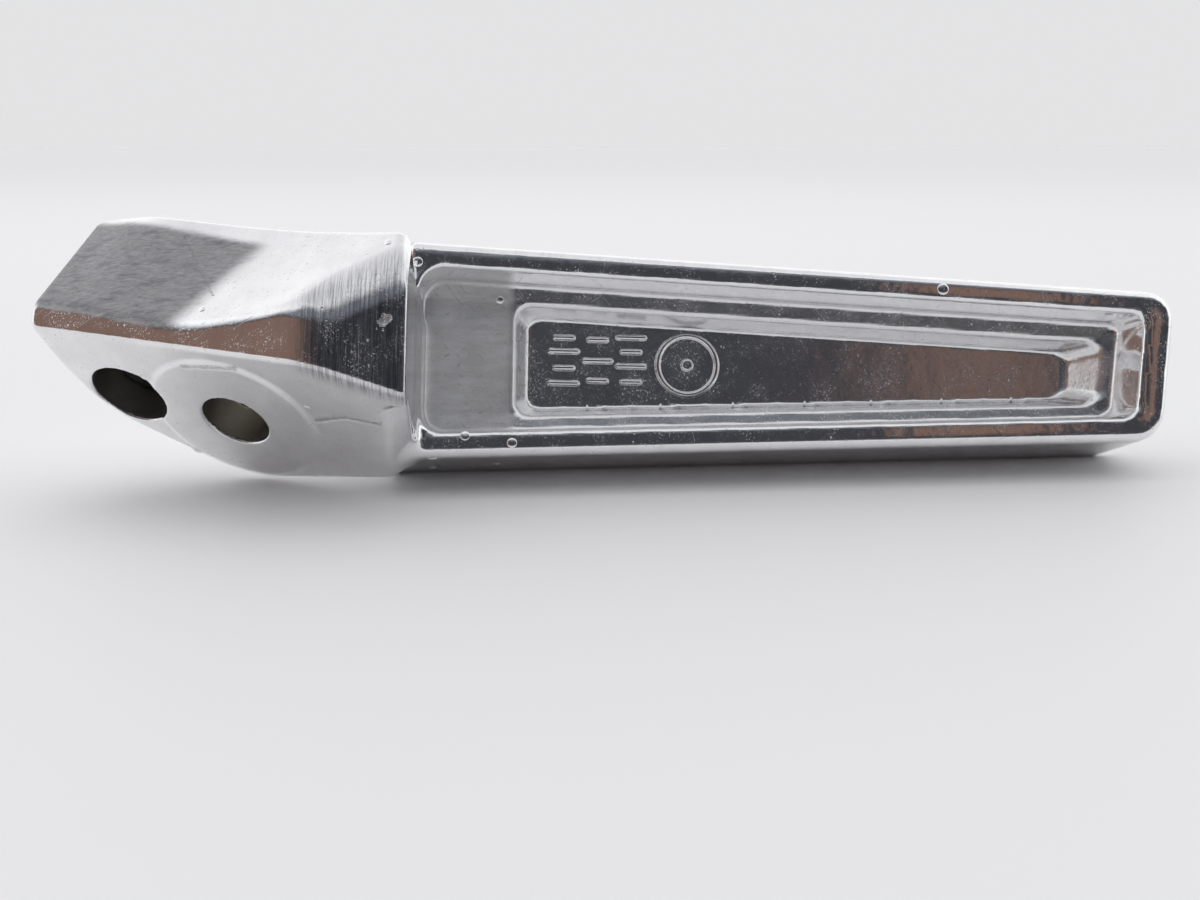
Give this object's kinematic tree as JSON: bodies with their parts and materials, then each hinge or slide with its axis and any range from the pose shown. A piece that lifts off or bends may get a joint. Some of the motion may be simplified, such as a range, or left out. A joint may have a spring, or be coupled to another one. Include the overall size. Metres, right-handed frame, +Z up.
{
  "type": "folding pillion footrest peg",
  "caption": "Polished die-cast footrest bar with a troughed underside, rubber tread strips and an oblique hinge tongue with a pivot bore and a spring-loaded detent ball.",
  "frame": {"origin": "middle of the bounding box's bottom, on the surface that the peg rests on", "axes": "+X along the bar towards its tip, -Y the side that the trough faces, +Z up, with the bar leaning back on its lower tread edge"},
  "size_m": [0.142, 0.0334, 0.0334],
  "materials": {
    "casting": "bright polished and plated",
    "bush": "turned bronze",
    "ball": "hardened and polished",
    "spring": "drawn wire, lightly oiled",
    "plug": "blackened",
    "tread": "moulded, ribbed"
  },
  "bodies": {
    "peg": {"peg_casting": "casting", "pivot_bush": "bush", "detent_plug": "plug", "tread_rubber_lower": "tread", "tread_rubber_middle": "tread", "tread_rubber_upper": "tread"},
    "click_ball": {"detent_ball": "ball", "detent_spring": "spring"}
  },
  "joints": [
    {"name": "ball_press", "type": "slide", "parent": "peg", "child": "click_ball", "axis": [-0.2859, -0.7481, -0.5988], "range_m": [0, 0.0014], "stiffness_N_per_m": 300, "springref_m": -0.002}
  ]
}
